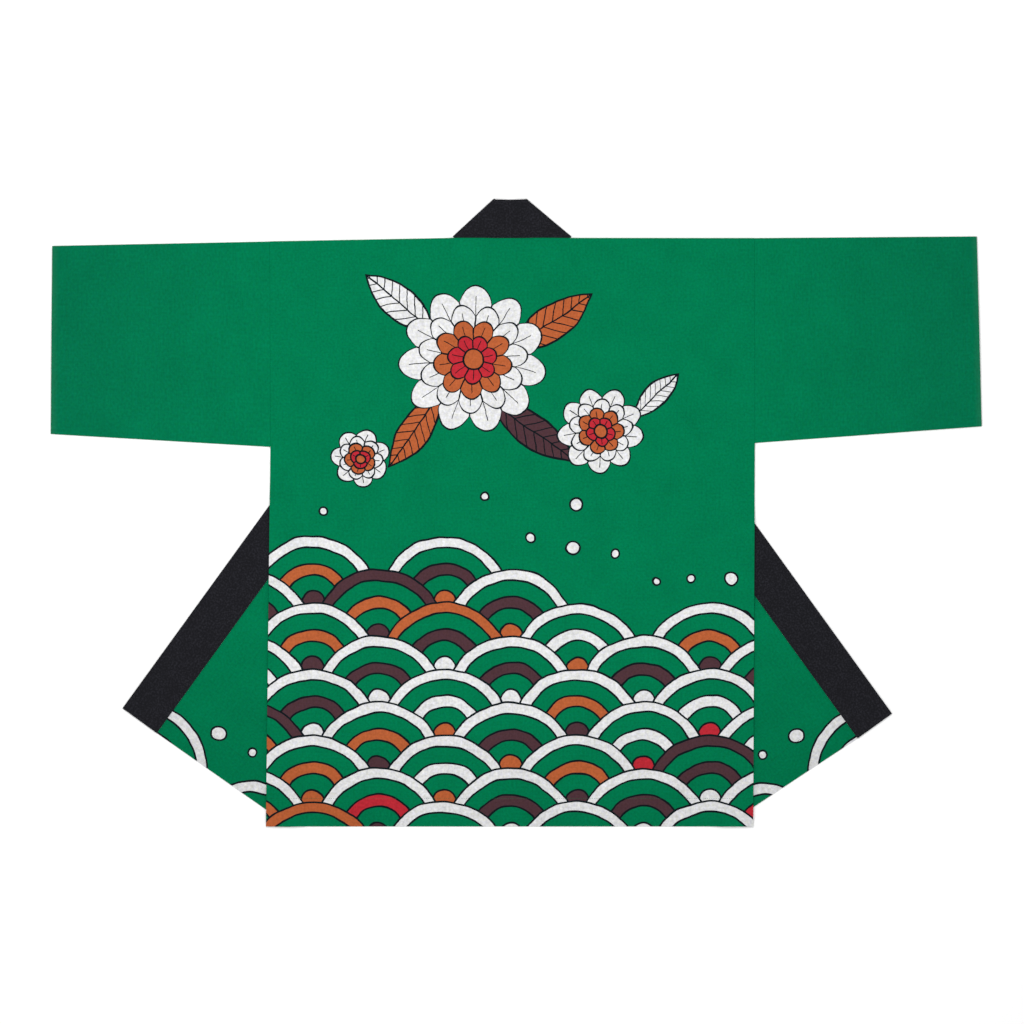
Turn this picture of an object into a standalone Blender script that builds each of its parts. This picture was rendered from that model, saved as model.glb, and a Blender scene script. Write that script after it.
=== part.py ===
"""A happi coat laid flat with its back upwards, both fronts folded outwards under the back.

Lengths are in metres. +Z is up, +Y points from the hem to the collar and the sleeves lie along X.
Each piece is cut flat as the maker cuts it, folded along its creases, raised by what lies under it and
given its wall. Points of one side are (out, up): the distance outwards from the centre back, and the
height above the shoulder line, which is negative towards the hem.
"""

import math
from collections import namedtuple

import bmesh
import bpy
from mathutils import Vector

# Walls, and the clearance between pieces that touch
CLOTH = 0.0012
BAND = 0.0024
GAP = 0.0003

# Body and collar
BODY_LENGTH = 0.8000
BAND_WIDTH = 0.0575
NECK_RISE = 0.0520
BAND_TRIM = 0.0180

# Folds: the cloth that goes round a folded edge, how far its middle stands out, and how far a front's
# folded edge stays back from the thicker fold of its band
FOLD_CLOTH = 0.0030
FOLD_STEPS = 6
CLOTH_BULGE = (CLOTH + GAP) / 2
BAND_BULGE = (BAND + GAP) / 2
SEAM_NOTCH = 0.0022

# How far cloth runs before it lies down beside an edge that is under it
SETTLE = 0.0160
CREASE_SETTLE = 0.0240
SETTLE_STEPS = 4

# Sleeves: how far the cuffs stand open, and the points of their walls
CUFF_LOFT = 0.0009
SLEEVE_STATIONS = 10
SLEEVE_COLUMNS = 10

# Spacing of the points inside a flat piece
GRID = 0.0400

Side = namedtuple(
    "Side",
    "name sign neck mitre_top shoulder armpit hem_out front_drop side_rise cuff_top cuff_foot "
    "crease_top lean",
)

SIDES = (
    Side(
        name="left",
        sign=-1,
        neck=0.0775,
        mitre_top=0.0208,
        shoulder=(0.3278, -0.0049),
        armpit=(0.3269, -0.2841),
        hem_out=0.3330,
        front_drop=0.0040,
        side_rise=0.0,
        cuff_top=(0.6236, -0.0109),
        cuff_foot=(0.6256, -0.2666),
        crease_top=(0.0200, 0.0675),
        lean=math.radians(17.95),
    ),
    Side(
        name="right",
        sign=1,
        neck=0.0805,
        mitre_top=0.0183,
        shoulder=(0.3308, -0.0003),
        armpit=(0.3314, -0.2788),
        hem_out=0.3291,
        front_drop=0.0065,
        side_rise=0.0040,
        cuff_top=(0.6332, 0.0020),
        cuff_foot=(0.6399, -0.2562),
        crease_top=(0.0230, 0.0446),
        lean=math.radians(17.90),
    ),
)

# Linear colour and roughness of each cloth
COLOURS = {
    "green_cotton": ((0.003, 0.195, 0.078), 0.85),
    "black_cotton": ((0.014, 0.014, 0.020), 0.80),
}


class Line:
    """A straight line in the plane, with distances measured along its normal."""

    def __init__(self, point, normal):
        self.point = Vector(point)
        self.normal = Vector(normal).normalized()

    def distance(self, point):
        return (point - self.point).dot(self.normal)

    def moved(self, offset):
        return Line(self.point + self.normal * offset, self.normal)

    def on_side(self, side):
        """The same line in the view, where the left side's points have a negative X."""
        point = (self.point.x * side.sign, self.point.y)
        return Line(point, (self.normal.x * side.sign, self.normal.y))


def crease_line(side):
    """The crease of a front. Distances grow outwards, over the half that stays under the back."""
    return Line(side.crease_top, (math.cos(side.lean), math.sin(side.lean)))


def turned_edge(side):
    """Where the front's free edge lies once it is folded. Distances grow towards the crease."""
    free = side.neck - BAND_WIDTH
    top = side.crease_top[1] - (free - side.crease_top[0]) / math.tan(side.lean)
    start = Vector((free, top)) - crease_line(side).normal * FOLD_CLOTH
    return Line(start, (-math.cos(2 * side.lean), -math.sin(2 * side.lean)))


def mitre_line(side):
    """The edge where the band turns from the neck down to the front. Distances grow outwards."""
    return Line((side.neck, 0.0), (NECK_RISE, side.neck - side.mitre_top))


def smooth(value):
    """0 below 0, 1 above 1, and a soft step between them."""
    value = min(max(value, 0.0), 1.0)
    return value * value * (3 - 2 * value)


def height_on_turned_front(side, point):
    """The underside of the cloth that lies on the turned half of a front."""
    inside = turned_edge(side).distance(point)
    on_band = (BAND + GAP) * smooth(inside / SETTLE + 1)
    down_to_cloth = (BAND - CLOTH) * smooth((inside - BAND_WIDTH) / SETTLE)
    return on_band - down_to_cloth


def height_under_back(side, point):
    """The underside of the back and of the neck stretch of the band, which lie on everything else."""
    over_band = smooth(1 + (side.neck - point.x) / SETTLE)
    wall = CLOTH + (BAND - CLOTH) * over_band
    past_crease = crease_line(side).distance(point) + 2 * BAND_BULGE
    on_front = smooth(1 + past_crease / CREASE_SETTLE)
    return (height_on_turned_front(side, point) + wall + GAP) * on_front


def settling_lines(line, start, run):
    """Lines through the stretch where cloth comes down off an edge."""
    return [line.moved(start + run * step / SETTLE_STEPS) for step in range(SETTLE_STEPS + 1)]


def lines_over_turned_front(side):
    edge = turned_edge(side)
    return settling_lines(edge, -SETTLE, SETTLE) + settling_lines(edge, BAND_WIDTH, SETTLE)


def lines_beside_crease(side):
    start = -2 * BAND_BULGE - CREASE_SETTLE
    return settling_lines(crease_line(side), start, CREASE_SETTLE)


def fold_lines(line, direction):
    """Lines across the strip of cloth that goes round a fold, on one side of its line."""
    width = direction * FOLD_CLOTH
    return [line.moved(width * step / FOLD_STEPS) for step in range(FOLD_STEPS + 1)]


def grid_over(outline):
    """A grid on whole multiples of GRID over an outline, so that stacked pieces share its points."""
    low = [math.floor(min(corner[i] for corner in outline) / GRID) for i in (0, 1)]
    high = [math.ceil(max(corner[i] for corner in outline) / GRID) for i in (0, 1)]
    across, along = high[0] - low[0], high[1] - low[1]
    cloth = bmesh.new()
    bmesh.ops.create_grid(cloth, x_segments=across, y_segments=along, size=0.5)
    bmesh.ops.scale(cloth, verts=cloth.verts, vec=(across * GRID, along * GRID, 1.0))
    middle = ((low[0] + high[0]) / 2 * GRID, (low[1] + high[1]) / 2 * GRID, 0.0)
    bmesh.ops.translate(cloth, verts=cloth.verts, vec=middle)
    return cloth


def anywhere(point):
    return True


def faces_where(cloth, holds):
    """The faces whose middle passes a test."""
    return [face for face in cloth.faces if holds(face.calc_center_median().to_2d())]


def cut(cloth, line, clear=False, within=anywhere):
    """Cut edges into the cloth along a line, and with clear drop what lies past it.

    Only the faces whose middle is within that test are cut or dropped.
    """
    faces = faces_where(cloth, within)
    edges = {edge for face in faces for edge in face.edges}
    verts = {vert for face in faces for vert in face.verts}
    bmesh.ops.bisect_plane(
        cloth,
        geom=[*verts, *edges, *faces],
        dist=1e-6,
        plane_co=line.point.to_3d(),
        plane_no=line.normal.to_3d(),
    )
    if clear:
        past = faces_where(cloth, lambda point: within(point) and line.distance(point) > 0)
        bmesh.ops.delete(cloth, geom=past, context="FACES")


def cut_outline(outline):
    """A flat piece of cloth with these corners, named anticlockwise."""
    cloth = grid_over(outline)
    for corner, following in zip(outline, outline[1:] + outline[:1]):
        along = Vector(following) - Vector(corner)
        cut(cloth, Line(corner, (along.y, -along.x)), clear=True)
    return cloth


def widest(side):
    """How far out a side edge reaches at most."""
    return max(side.hem_out, side.armpit[0], side.shoulder[0])


def trim_side(cloth, side, outwards):
    """Cut a side edge, which turns a little at the armpit. Outwards is the sign of X at that edge."""
    hem, armpit, shoulder = Vector((side.hem_out, -BODY_LENGTH)), Vector(side.armpit), Vector(side.shoulder)
    cut(cloth, Line(armpit, (0.0, 1.0)), within=lambda point: point.x * outwards > 0)
    for low, high, upper in ((hem, armpit, -1), (armpit, shoulder, 1)):
        along = high - low
        edge = Line((low.x * outwards, low.y), (along.y * outwards, -along.x))
        cut(
            cloth,
            edge,
            clear=True,
            within=lambda point: point.x * outwards > 0 and (point.y - armpit.y) * upper > 0,
        )


def material(name):
    colour, roughness = COLOURS[name]
    made = bpy.data.materials.get(name) or bpy.data.materials.new(name)
    made.use_nodes = True
    shader = made.node_tree.nodes["Principled BSDF"]
    shader.inputs["Base Color"].default_value = (*colour, 1.0)
    shader.inputs["Roughness"].default_value = roughness
    shader.inputs["Metallic"].default_value = 0.0
    return made


def finish_piece(name, cloth, wall, stuff, coat):
    """Make an object of the placed middle surface, with its wall on both sides of it."""
    mesh = bpy.data.meshes.new(name)
    cloth.to_mesh(mesh)
    cloth.free()
    mesh.materials.append(material(stuff))
    piece = bpy.data.objects.new(name, mesh)
    bpy.data.collections["happi_coat"].objects.link(piece)
    piece.parent = coat
    shell = piece.modifiers.new("wall", "SOLIDIFY")
    shell.thickness = wall
    shell.offset = 0.0
    shell.use_even_offset = True


def lay(cloth, place):
    """Move each point of the flat cloth to its place in the folded coat."""
    bmesh.ops.remove_doubles(cloth, verts=cloth.verts, dist=1e-5)
    bmesh.ops.triangulate(cloth, faces=cloth.faces)
    for vert in cloth.verts:
        vert.co = place(vert.co.to_2d())


def round_fold(foot, outwards, turned, high, low, bulge):
    """A point of the round edge that joins a high layer to a low one, turned from 0 to 1."""
    angle = math.pi * turned
    beside = foot + outwards * bulge * math.sin(angle)
    return Vector((beside.x, beside.y, high + (low - high) * (1 - math.cos(angle)) / 2))


def place_on_front(side, point, wall, bulge):
    """The place of a point of a front, or of its band, once the front is folded."""
    crease = crease_line(side)
    over = -crease.distance(point)
    if over <= 0:
        laid = point.to_3d()
        laid.z = height_on_turned_front(side, point) + wall / 2
    else:
        foot = point + crease.normal * over
        high = height_on_turned_front(side, foot) + wall / 2
        turned = min(over / FOLD_CLOTH, 1.0)
        laid = round_fold(foot, -crease.normal, turned, high, wall / 2, bulge)
        laid += crease.normal.to_3d() * max(over - FOLD_CLOTH, 0.0)
    laid.x *= side.sign
    return laid


def cut_folds_of_front(cloth, side):
    """The points round the crease, and those over the turned half's edges."""
    crease = crease_line(side)
    for line in fold_lines(crease, -1):
        cut(cloth, line)
    for line in lines_over_turned_front(side):
        cut(cloth, line, within=lambda point: crease.distance(point) > 0)


def make_front(side, coat):
    """One front, from the side seam to the seam of the band, where it is a little longer than the back."""
    inner, out = side.neck + GAP, widest(side)
    foot, side_foot = -BODY_LENGTH - side.front_drop, -BODY_LENGTH + side.side_rise
    cloth = cut_outline([(inner, foot), (out, side_foot), (out, side.shoulder[1]), (inner, -GAP / 2)])
    trim_side(cloth, side, 1)
    cut_folds_of_front(cloth, side)
    crease = crease_line(side)
    cut(cloth, crease.moved(SEAM_NOTCH))
    beside_seam = Line((inner + SEAM_NOTCH, 0.0), (-1.0, 0.0))
    cut(
        cloth,
        beside_seam,
        clear=True,
        within=lambda point: -FOLD_CLOTH < crease.distance(point) < SEAM_NOTCH,
    )
    lay(cloth, lambda point: place_on_front(side, point, CLOTH, CLOTH_BULGE))
    finish_piece(f"front_{side.name}", cloth, CLOTH, "green_cotton", coat)


def make_front_band(side, coat):
    """The stretch of the collar band on a front's edge, from its mitre at the neck to the hem."""
    free = side.neck - BAND_WIDTH
    seam = side.neck - GAP
    top = NECK_RISE - BAND_TRIM
    foot = -BODY_LENGTH - side.front_drop
    cloth = cut_outline([(free, foot), (seam, foot), (seam, top), (free, top)])
    cut(cloth, mitre_line(side).moved(-GAP - BAND / 4), clear=True)
    cut_folds_of_front(cloth, side)
    lay(cloth, lambda point: place_on_front(side, point, BAND, BAND_BULGE))
    finish_piece(f"collar_{side.name}", cloth, BAND, "black_cotton", coat)


def side_of(point):
    """The side that a point of the view lies on, and the point as that side's own."""
    side = SIDES[0] if point.x < 0 else SIDES[1]
    return side, Vector((abs(point.x), point.y))


def cut_lines_under_back(cloth):
    """The points where the back and the neck stretch come down off the layers under them."""
    cut(cloth, Line((0.0, 0.0), (1.0, 0.0)))
    for side in SIDES:
        crease = crease_line(side).on_side(side)
        for line in lines_beside_crease(side):
            cut(cloth, line.on_side(side), within=lambda point: point.x * side.sign > 0)
        for line in lines_over_turned_front(side):
            cut(cloth, line.on_side(side), within=lambda point: crease.distance(point) > 0)


def place_on_top(point, wall):
    side, own = side_of(point)
    return Vector((point.x, point.y, height_under_back(side, own) + wall / 2))


def make_back(coat):
    """The back, from the neck and shoulder seams to the hem."""
    left, right = SIDES
    cloth = cut_outline([
        (-widest(left), -BODY_LENGTH),
        (widest(right), -BODY_LENGTH),
        (widest(right), right.shoulder[1]),
        (right.neck, -GAP / 2),
        (-left.neck, -GAP / 2),
        (-widest(left), left.shoulder[1]),
    ])
    for side in SIDES:
        trim_side(cloth, side, side.sign)
        for line in settling_lines(Line((side.neck, 0.0), (1.0, 0.0)), 0.0, SETTLE):
            cut(cloth, line.on_side(side), within=lambda point: point.y > -3 * GRID)
        cut(cloth, crease_line(side).on_side(side))
    cut_lines_under_back(cloth)
    lay(cloth, lambda point: place_on_top(point, CLOTH))
    finish_piece("back", cloth, CLOTH, "green_cotton", coat)


def place_on_neck(point):
    """The neck stretch lies on top, and its mitred ends turn under to meet the bands of the fronts."""
    side, own = side_of(point)
    mitre = mitre_line(side)
    over = mitre.distance(own)
    if over <= 0:
        return place_on_top(point, BAND)
    foot = own - mitre.normal * over
    high = height_under_back(side, foot) + BAND / 2
    low = height_on_turned_front(side, foot) + BAND / 2
    laid = round_fold(foot, mitre.normal, over / FOLD_CLOTH, high, low, BAND_BULGE)
    laid.x *= side.sign
    return laid


def make_neck_band(coat):
    """The stretch of the collar band behind the neck, between the two mitres."""
    left, right = (side.neck + 2 * FOLD_CLOTH for side in SIDES)
    low, high = 3 * GAP, NECK_RISE
    cloth = cut_outline([(-left, low), (right, low), (right, high), (-left, high)])
    for side in SIDES:
        mitre = mitre_line(side)
        for line in fold_lines(mitre, 1):
            cut(cloth, line.on_side(side), within=lambda point: point.x * side.sign > 0)
        cut(cloth, mitre.moved(FOLD_CLOTH).on_side(side), clear=True)
        end = Line((side.neck, low), (side.neck - side.mitre_top, -NECK_RISE)).on_side(side)
        turned = mitre.on_side(side)
        cut(cloth, end, clear=True, within=lambda point: turned.distance(point) > 0)
    cut_lines_under_back(cloth)
    lay(cloth, place_on_neck)
    finish_piece("collar_neck", cloth, BAND, "black_cotton", coat)


def sleeve_section():
    """Rows of a flattened tube as (share from underarm to shoulder, steps round a fold, top layer)."""
    columns = [column / SLEEVE_COLUMNS for column in range(SLEEVE_COLUMNS + 1)]
    rounds = [step / FOLD_STEPS for step in range(1, FOLD_STEPS)]
    under = [(share, 0.0) for share in columns]
    shoulder = [(1.0, turned) for turned in rounds]
    over = [(share, 1.0) for share in reversed(columns)]
    underarm = [(0.0, 1.0 - turned) for turned in rounds]
    return under + shoulder + over + underarm + under[:1]


def make_sleeve(side, coat):
    """One sleeve: a tube flattened between its shoulder fold and its underarm seam, open at the cuff."""
    gap = Vector((GAP, 0.0))
    armhole = Vector(side.armpit) + gap, Vector(side.shoulder) + gap
    cuff = Vector(side.cuff_foot), Vector(side.cuff_top)
    rim = CLOTH_BULGE + CLOTH / 2
    section = sleeve_section()
    cloth = bmesh.new()
    bmesh.ops.create_grid(cloth, x_segments=SLEEVE_STATIONS, y_segments=len(section) - 1, size=0.5)
    for vert in cloth.verts:
        outwards = vert.co.x + 0.5
        share, turned = section[round((vert.co.y + 0.5) * (len(section) - 1))]
        foot, top = (armhole[i].lerp(cuff[i], outwards) for i in (0, 1))
        up = (top - foot).normalized()
        middle = (foot + up * rim).lerp(top - up * rim, share)
        loft = CUFF_LOFT * smooth(outwards) * math.sin(math.pi * share) ** 2
        high = CLOTH * 1.5 + GAP + loft
        fold_side = up if share == 1.0 else -up
        vert.co = round_fold(middle, fold_side, 1.0 - turned, high, CLOTH / 2, CLOTH_BULGE)
        vert.co.x *= side.sign
    bmesh.ops.remove_doubles(cloth, verts=cloth.verts, dist=1e-5)
    finish_piece(f"sleeve_{side.name}", cloth, CLOTH, "green_cotton", coat)


def main():
    for existing in list(bpy.data.objects):
        bpy.data.objects.remove(existing)
    collection = bpy.data.collections.new("happi_coat")
    bpy.context.scene.collection.children.link(collection)
    coat = bpy.data.objects.new("coat", None)
    collection.objects.link(coat)
    left, right = SIDES
    middle = (right.cuff_foot[0] - left.cuff_foot[0]) / 2
    coat.location = (-middle, (BODY_LENGTH - NECK_RISE) / 2, 0.0)
    make_back(coat)
    make_neck_band(coat)
    for side in SIDES:
        make_front(side, coat)
        make_front_band(side, coat)
        make_sleeve(side, coat)


main()
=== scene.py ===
"""The looks of a happi coat laid flat with its back upwards, both fronts folded outwards under the back.

Lengths are in metres. Each cloth is cut flat, folded along its creases and raised by what lies under it,
as in the part's own source, with closer points. Points of one side are (out, up): the distance outwards
from the centre back, and the height above the shoulder line, which is negative towards the hem.
Every cloth keeps those flat coordinates as its UV map, so weave, dye and stitching follow the cloth.
"""

import math
from collections import namedtuple

import bmesh
import bpy
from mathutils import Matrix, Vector


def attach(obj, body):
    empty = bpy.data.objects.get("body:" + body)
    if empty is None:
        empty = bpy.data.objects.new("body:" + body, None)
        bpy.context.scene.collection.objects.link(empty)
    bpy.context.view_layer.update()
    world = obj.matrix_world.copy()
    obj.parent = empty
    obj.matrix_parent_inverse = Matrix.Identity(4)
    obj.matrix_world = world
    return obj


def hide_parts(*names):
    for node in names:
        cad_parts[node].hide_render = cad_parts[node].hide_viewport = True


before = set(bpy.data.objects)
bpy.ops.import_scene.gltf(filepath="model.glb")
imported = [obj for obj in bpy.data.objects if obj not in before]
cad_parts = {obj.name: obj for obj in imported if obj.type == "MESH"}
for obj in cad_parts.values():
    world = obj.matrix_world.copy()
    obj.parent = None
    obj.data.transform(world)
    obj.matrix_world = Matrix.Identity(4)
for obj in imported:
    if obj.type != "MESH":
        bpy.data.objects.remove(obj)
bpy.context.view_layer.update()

# Walls, and the clearance between pieces that touch
CLOTH = 0.0012
BAND = 0.0024
GAP = 0.0003
SEWN_GAP = 0.00005

# Body and collar
BODY_LENGTH = 0.8000
BAND_WIDTH = 0.0575
NECK_RISE = 0.0520
BAND_TRIM = 0.0180

# Folds: the cloth that goes round a folded edge, and how far its middle stands out
FOLD_CLOTH = 0.0030
FOLD_STEPS = 10
CLOTH_BULGE = (CLOTH + GAP) / 2
BAND_BULGE = (BAND + GAP) / 2
SEAM_NOTCH = 0.0022

# How far cloth runs before it lies down beside an edge that is under it
SETTLE = 0.0160
CREASE_SETTLE = 0.0240
SETTLE_STEPS = 6

# The yarns of plain-weave cotton: their spacing, their height, the weave's share in it, and its strength
YARN = 0.00045
YARN_HEIGHT = 0.00012
WEAVE_SHARE = 0.35
PRINTED_RELIEF = 0.7
BLACK_RELIEF = 0.8

# Slubs: how often they change across a yarn and along it
SLUB_ACROSS = 900.0
SLUB_ALONG = 30.0

# Sleeves: how far the cuffs stand open, and the points of their walls
CUFF_LOFT = 0.0009
SLEEVE_STATIONS = 44
SLEEVE_COLUMNS = 34

# Spacing of the points inside a flat piece, and of those that keep its edges crisp
GRID = 0.0080
EDGE_LOOP = 0.0012

# The rounded rim of a wall: its share of the wall, its steps, and the least corner that it rounds
RIM_SHARE = 0.3
RIM_STEPS = 3
RIM_CORNER = math.radians(55)

# Hems and seams
HEM_DEPTH = 0.0380
HEM_RISE = 0.00022
CUFF_HEM = 0.0200
ALLOWANCE = 0.0120
SEAM_RISE = 0.00018

# Stitches: their spacing, their size along, across and out of the row, and their distance from an edge
STITCH_SPACING = 0.0030
STITCH_LENGTH = 0.0022
STITCH_WIDTH = 0.00055
STITCH_HEIGHT = 0.00036
STITCH_INSET = 0.0020
ROW_POINT_SPACING = 0.0040

# How unlike each other the stitches are, as shares of their size, the twist of their thread, and the painted
# shade in the grooves of that twist
LEAST_STITCH = (0.86, 0.86, 0.86)
MOST_STITCH = (1.08, 1.10, 1.06)
THREAD_TURNS = 900.0
THREAD_SHADE = 0.7

# The cuff's paler edge, the sleeve's fading dye, and painted shade that darkens the back and fronts towards
# the hem: how far each reaches from the cuff and the hem, and how much of it there is
CUFF_PALE_REACH = 0.0090
CUFF_PALING = 0.012
SLEEVE_FADE = 0.3000
HEM_SHADE_REACH = 0.2000
BACK_HEM_SHADE = 0.09
FRONT_HEM_SHADE = 0.13

# The dyed cloth: how far a printed line drifts, and how far its edge bleeds along the yarns
DRIFT = 0.0070
BLEED = 0.0012

# Its tone: the least, what the cloth's unevenness adds, and how blotched light dyes and the blue are
LEAST_TONE = 0.52
SLUB_TONE = 0.30
MOTTLE_TONE = 0.20
GRAIN_TONE = 0.46
LIGHTNESS = 1.4
LIGHT_BLOTCH = 0.5
BLUE_TINT = 0.34

# How many spots of each unevenness lie along a metre, on the printed cotton and on the black
DRIFT_SPOTS = (21.0, 19.0)
BLEED_SPOTS = 240.0
MOTTLE_SPOTS = 22.0
GRAIN_SPOTS = 330.0
BLOTCH_SPOTS = 170.0
TINT_SPOTS = 260.0
BLACK_MOTTLE_SPOTS = 60.0
BLACK_GRAIN_SPOTS = 420.0

# How much paler the dyes are on the wrong side
WRONG_SIDE_PALE = 0.42

# How slubs, mottling and grain wear the black cotton to grey, less what stays black
SLUB_WEAR = 0.8
MOTTLE_WEAR = 0.8
GRAIN_WEAR = 3.4
UNWORN = 2.32

# The lie of the whole coat: long low swells, each (height, length across, length along, start)
SWELLS = (
    (0.00022, 0.310, 0.420, 0.4),
    (0.00016, 0.170, -0.230, 1.9),
    (0.00010, -0.090, 0.140, 3.1),
)

# The camera over the coat, and the width that it sees on the floor
VIEW_WIDTH = 1.3926
VIEW_CENTRE = (-0.00575, 0.0014)
CAMERA_HEIGHT = 6.0
CAMERA_REACH = 100.0
SENSOR_WIDTH = 36.0

# The pale room's light, the soft lamp over it, and the floor under the coat
ROOM_LIGHT = 0.806
LAMP_WIDTH = 0.8
LAMP_WATTS = 14.7
LAMP_PLACE = (-0.15, 0.25, 1.6)
FLOOR_REACH = 6.0
FLOOR_DROP = 0.0003

Side = namedtuple(
    "Side",
    "name sign neck mitre_top shoulder armpit hem_out front_drop side_rise cuff_top cuff_foot "
    "crease_top lean",
)

SIDES = (
    Side(
        name="left",
        sign=-1,
        neck=0.0775,
        mitre_top=0.0208,
        shoulder=(0.3278, -0.0049),
        armpit=(0.3269, -0.2841),
        hem_out=0.3330,
        front_drop=0.0040,
        side_rise=0.0,
        cuff_top=(0.6236, -0.0109),
        cuff_foot=(0.6256, -0.2666),
        crease_top=(0.0200, 0.0675),
        lean=math.radians(17.95),
    ),
    Side(
        name="right",
        sign=1,
        neck=0.0805,
        mitre_top=0.0183,
        shoulder=(0.3308, -0.0003),
        armpit=(0.3314, -0.2788),
        hem_out=0.3291,
        front_drop=0.0065,
        side_rise=0.0040,
        cuff_top=(0.6332, 0.0020),
        cuff_foot=(0.6399, -0.2562),
        crease_top=(0.0230, 0.0446),
        lean=math.radians(17.90),
    ),
)
LEFT, RIGHT = SIDES
COAT_PLACE = Vector((-(RIGHT.cuff_foot[0] - LEFT.cuff_foot[0]) / 2, (BODY_LENGTH - NECK_RISE) / 2, 0.0))

# The print: wave scallops over the hem, and flowers with leaves over the shoulders
WAVE_RADIUS = 0.0900
WAVE_SPACING = 0.0372
DYED_SHARE = 0.42
LINE = 0.0026
BAND_STEP = 0.34
SPRAY_CELL = 0.0560
SPRAY_BAND = (0.060, 0.150)
SPRAY_SHARE = 0.65
DROP_SIZES = (0.0035, 0.0090)

# The crest that the waves rise to: its level, and its mounds as (rise, radians to a metre, start)
BACK_CREST = (-0.520, ((0.052, 7.5, 2.3), (0.014, 17.0, 0.0)))
FRONT_CREST = (-0.795, ((0.030, 15.0, 2.6),))

# Finer lines, from their middles: between petals, on petals, along a leaf, and inside and outside its edge
PETAL_LINE = LINE * 0.4
PETAL_RIB = LINE * 0.22
LEAF_RIB = LINE * 0.4
LEAF_EDGE = (LINE * 0.3, LINE * 0.8)

# Petals: how far their edges fall back at the sides, and how far their ribs run
PETAL_FALL = 0.9
RIB_REACH = 0.86

# A flower's rings: the share of its size, how many petals fewer, the turn in petals, and the dye
PETAL_RINGS = (
    (1.00, 0, 0.0, "white"),
    (0.74, 0, 0.5, "white"),
    (0.54, 2, 0.0, "orange"),
    (0.34, 4, 0.5, "red"),
)
EYE_SHARE = 0.13

# A leaf's side veins: their number, how they slant, and how broad they are
VEINS = 9
VEIN_SLANT = 0.9
VEIN_SHARE = 0.14

Flower = namedtuple("Flower", "out up size petals turn")
Leaf = namedtuple("Leaf", "out up length width angle dye")

FLOWERS = (
    Flower(out=-0.052, up=-0.165, size=0.100, petals=11, turn=0.20),
    Flower(out=0.122, up=-0.262, size=0.058, petals=9, turn=0.90),
    Flower(out=-0.205, up=-0.300, size=0.040, petals=7, turn=0.55),
)
LEAVES = (
    Leaf(out=0.056, up=-0.115, length=0.130, width=0.046, angle=0.62, dye="orange"),
    Leaf(out=-0.150, up=-0.090, length=0.120, width=0.042, angle=2.45, dye="white"),
    Leaf(out=0.030, up=-0.262, length=0.140, width=0.044, angle=-0.62, dye="brown"),
    Leaf(out=-0.130, up=-0.262, length=0.120, width=0.040, angle=-2.20, dye="orange"),
    Leaf(out=0.195, up=-0.215, length=0.086, width=0.030, angle=0.75, dye="white"),
)

# Linear colours of the dyes
DYES = {
    "green": (0.0004, 0.1540, 0.0615),
    "sleeve": (0.0010, 0.1340, 0.0580),
    "white": (0.6330, 0.6350, 0.6400),
    "orange": (0.3920, 0.0955, 0.0315),
    "brown": (0.0640, 0.0284, 0.0348),
    "red": (0.4200, 0.0206, 0.0320),
    "line": (0.0050, 0.0088, 0.0118),
    "collar": (0.0086, 0.0086, 0.0108),
    "collar_worn": (0.0190, 0.0190, 0.0240),
    "wrong_side": (0.1300, 0.2600, 0.1900),
    "thread": (0.0030, 0.1350, 0.0560),
}

# The dyes of the waves' rims and of the bands inside them, each from its number between 0 and 1 upwards
RIM_DYES = ((0.00, "white"), (0.84, "brown"), (0.95, "orange"))
WAVE_DYES = ((0.00, "orange"), (0.22, "brown"), (0.54, "white"), (0.76, "orange"), (0.94, "red"))


class Line:
    """A straight line in the plane, with distances measured along its normal."""

    def __init__(self, point, normal):
        self.point = Vector(point)
        self.normal = Vector(normal).normalized()

    def distance(self, point):
        return (point - self.point).dot(self.normal)

    def moved(self, offset):
        return Line(self.point + self.normal * offset, self.normal)

    def on_side(self, side):
        """The same line in the view, where the left side's points have a negative X."""
        point = (self.point.x * side.sign, self.point.y)
        return Line(point, (self.normal.x * side.sign, self.normal.y))


def crease_line(side):
    """The crease of a front. Distances grow outwards, over the half that stays under the back."""
    return Line(side.crease_top, (math.cos(side.lean), math.sin(side.lean)))


def turned_edge(side):
    """Where the front's free edge lies once it is folded. Distances grow towards the crease."""
    free = side.neck - BAND_WIDTH
    top = side.crease_top[1] - (free - side.crease_top[0]) / math.tan(side.lean)
    start = Vector((free, top)) - crease_line(side).normal * FOLD_CLOTH
    return Line(start, (-math.cos(2 * side.lean), -math.sin(2 * side.lean)))


def mitre_line(side):
    """The edge where the band turns from the neck down to the front. Distances grow outwards."""
    return Line((side.neck, 0.0), (NECK_RISE, side.neck - side.mitre_top))


def smooth(value):
    """0 below 0, 1 above 1, and a soft step between them."""
    value = min(max(value, 0.0), 1.0)
    return value * value * (3 - 2 * value)


def height_on_turned_front(side, point):
    """The underside of the cloth that lies on the turned half of a front."""
    inside = turned_edge(side).distance(point)
    on_band = (BAND + GAP) * smooth(inside / SETTLE + 1)
    down_to_cloth = (BAND - CLOTH) * smooth((inside - BAND_WIDTH) / SETTLE)
    return on_band - down_to_cloth


def height_under_back(side, point):
    """The underside of the back and of the neck stretch of the band, which lie on everything else."""
    over_band = smooth(1 + (side.neck - point.x) / SETTLE)
    wall = CLOTH + (BAND - CLOTH) * over_band
    past_crease = crease_line(side).distance(point) + 2 * BAND_BULGE
    on_front = smooth(1 + past_crease / CREASE_SETTLE)
    return (height_on_turned_front(side, point) + wall + GAP) * on_front


def swell(point):
    """How far the lie of the coat lifts every layer at a place."""
    lift = 0.0
    for height, across, along, start in SWELLS:
        lift += height * (1 + math.sin(2 * math.pi * (point.x / across + point.y / along) + start)) / 2
    return lift


def settling_lines(line, start, run):
    """Lines through the stretch where cloth comes down off an edge."""
    return [line.moved(start + run * step / SETTLE_STEPS) for step in range(SETTLE_STEPS + 1)]


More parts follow.
